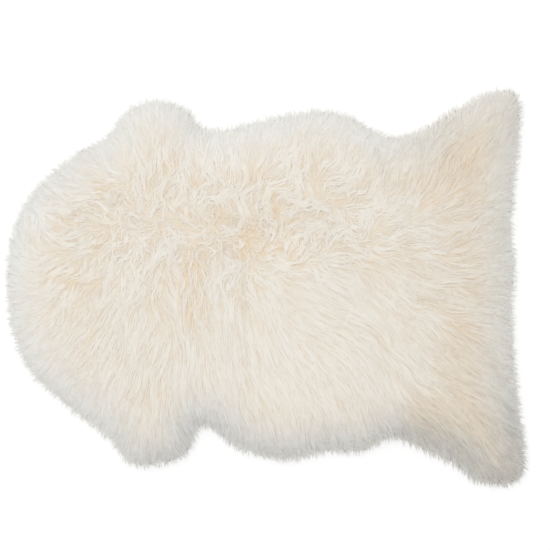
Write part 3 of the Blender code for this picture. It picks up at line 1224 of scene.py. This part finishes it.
def make_underwool_material():
    material, nodes, links, shader = new_material("under-wool")
    fibres = add_noise(nodes, links, scale=420, detail=4)
    tone = math_node(nodes, links, "ADD", stored(nodes, "tone"), fibres)
    tone = math_node(nodes, links, "SUBTRACT", tone, MEAN_NOISE)
    colour = place_wool_colour(nodes, links, stored(nodes, "cream"), tone)
    shaded_and_greasy = mix_colour(nodes, links, 1.0, colour, UNDERWOOL_SHADE_AND_GREASE, "MULTIPLY")
    links.new(shaded_and_greasy, shader["Base Color"])
    shader["Roughness"].default_value = 0.9
    shader["Specular IOR Level"].default_value = 0.1
    add_bump(nodes, links, shader, fibres, strength=0.6, distance=0.0015)
    return material


deep_x, deep_y, _ = points_of(underwool.data).T
deep_cream, deep_shade = colour_at(deep_x, deep_y, ROOT_CREAM + DEEP_CREAM)
store(underwool.data, "cream", deep_cream + UNDERWOOL_STAIN * STAIN_CREAM * stain_at(deep_x, deep_y))
# The tone carries the same painted shade as the locks
store(underwool.data, "tone", TONE - deep_shade)
underwool.data.materials.append(make_underwool_material())
print("under-wool: cream from", round(deep_cream.min(), 2), "to", round(deep_cream.max(), 2))

# %% [markdown]
# ## The suede underneath
#
# The flesh side of a tanned skin is suede: matt, a little darker and browner than the wool, in soft patches
# and with a fine brushed nap. Two sizes of noise give the patches and the nap.

# %% The hide's material
SUEDE_DARK = (0.66, 0.56, 0.42, 1)
SUEDE_PALE = (0.80, 0.71, 0.57, 1)
NAP_DARK = (0.78, 0.78, 0.78, 1)
WHITE = (1, 1, 1, 1)


def make_hide_material():
    material, nodes, links, shader = new_material("suede")
    patches = add_noise(nodes, links, scale=9, detail=6)
    nap = add_noise(nodes, links, scale=650, detail=5)
    base = mix_colour(nodes, links, patches, SUEDE_DARK, SUEDE_PALE)
    brushed = mix_colour(nodes, links, nap, NAP_DARK, WHITE)
    links.new(mix_colour(nodes, links, 1.0, base, brushed, "MULTIPLY"), shader["Base Color"])
    shader["Roughness"].default_value = 0.92
    shader["Specular IOR Level"].default_value = 0.15
    shader["Sheen Weight"].default_value = 0.15
    add_bump(nodes, links, shader, nap, strength=0.35, distance=0.0008)
    return material


hide.data.materials.append(make_hide_material())
print("materials:", [piece.data.materials[0].name for piece in (hide, underwool, wool[0])])

# %% [markdown]
# ## Putting the layers together
#
# All the layers ride on the one body, and together they stand for the pelt's solid. The hide is a sheet laid
# flat.

# %% Attach the layers
for obj in (hide, underwool, *wool):
    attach(obj, "root")
    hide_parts("pelt")

# %% [markdown]
# ## A studio to see it in
#
# The rug lies on a white floor in even daylight, with one large window that leans in from the far side, so
# that the near edges fall into a light shade. The floor glows a little, which keeps it plain white close up
# to the wool. Light may bounce many times, because in real wool that is what makes the depths bright, and the
# gamma opens them further. The camera looks straight down through a long lens.

# %% The floor
FLOOR_SIZE = 12
FLOOR_DROP = 0.0005
FLOOR_GREY = (0.60, 0.60, 0.60, 1)
FLOOR_GLOW = 0.52


def add_floor():
    bpy.ops.mesh.primitive_plane_add(size=FLOOR_SIZE, location=(0, 0, -FLOOR_DROP))
    floor = bpy.context.object
    floor.name = "floor"
    material, nodes, links, shader = new_material("white floor")
    shader["Base Color"].default_value = FLOOR_GREY
    shader["Roughness"].default_value = 0.9
    shader["Emission Color"].default_value = WHITE
    shader["Emission Strength"].default_value = FLOOR_GLOW
    floor.data.materials.append(material)


add_floor()

# %% The window and the daylight
WINDOW_PLACE = (-1.1, 1.5, 3.4)
WINDOW_SIZE = 4.5
WINDOW_POWER = 57
DAYLIGHT = 0.637


def add_window():
    bpy.ops.object.light_add(type="AREA", location=WINDOW_PLACE)
    light = bpy.context.object
    light.name = "window"
    light.data.shape = "DISK"
    light.data.size = WINDOW_SIZE
    light.data.energy = WINDOW_POWER
    light.rotation_euler = (-Vector(WINDOW_PLACE)).to_track_quat("-Z", "Y").to_euler()
    light.visible_camera = False


def light_world():
    world = bpy.context.scene.world or bpy.data.worlds.new("daylight")
    bpy.context.scene.world = world
    world.use_nodes = True
    background = world.node_tree.nodes["Background"].inputs
    background["Color"].default_value = WHITE
    background["Strength"].default_value = DAYLIGHT


add_window()
light_world()
print("window:", WINDOW_POWER, "W, daylight:", DAYLIGHT)

# %% The camera and the picture
CAMERA_LENS = 135
SENSOR = 36
VIEW_WIDTH = 0.952
VIEW_CENTRE = (0.0160, 0.0210)
VIEW_HEIGHT = 0.006
GAMMA = 1.6
BOUNCES = 48


def add_camera():
    """Looks straight down, from where the picture is as wide as asked at the height of the view."""
    distance = VIEW_WIDTH / SENSOR * CAMERA_LENS
    place = (*VIEW_CENTRE, distance + VIEW_HEIGHT)
    bpy.ops.object.camera_add(location=place, rotation=(0, 0, 0))
    camera = bpy.context.object
    camera.data.lens = CAMERA_LENS
    camera.data.sensor_width = SENSOR
    bpy.context.scene.camera = camera


add_camera()
scene = bpy.context.scene
scene.view_settings.view_transform = "Standard"
scene.view_settings.gamma = GAMMA
scene.cycles.diffuse_bounces = BOUNCES
scene.cycles.max_bounces = BOUNCES
print("camera at", [round(c, 3) for c in scene.camera.location])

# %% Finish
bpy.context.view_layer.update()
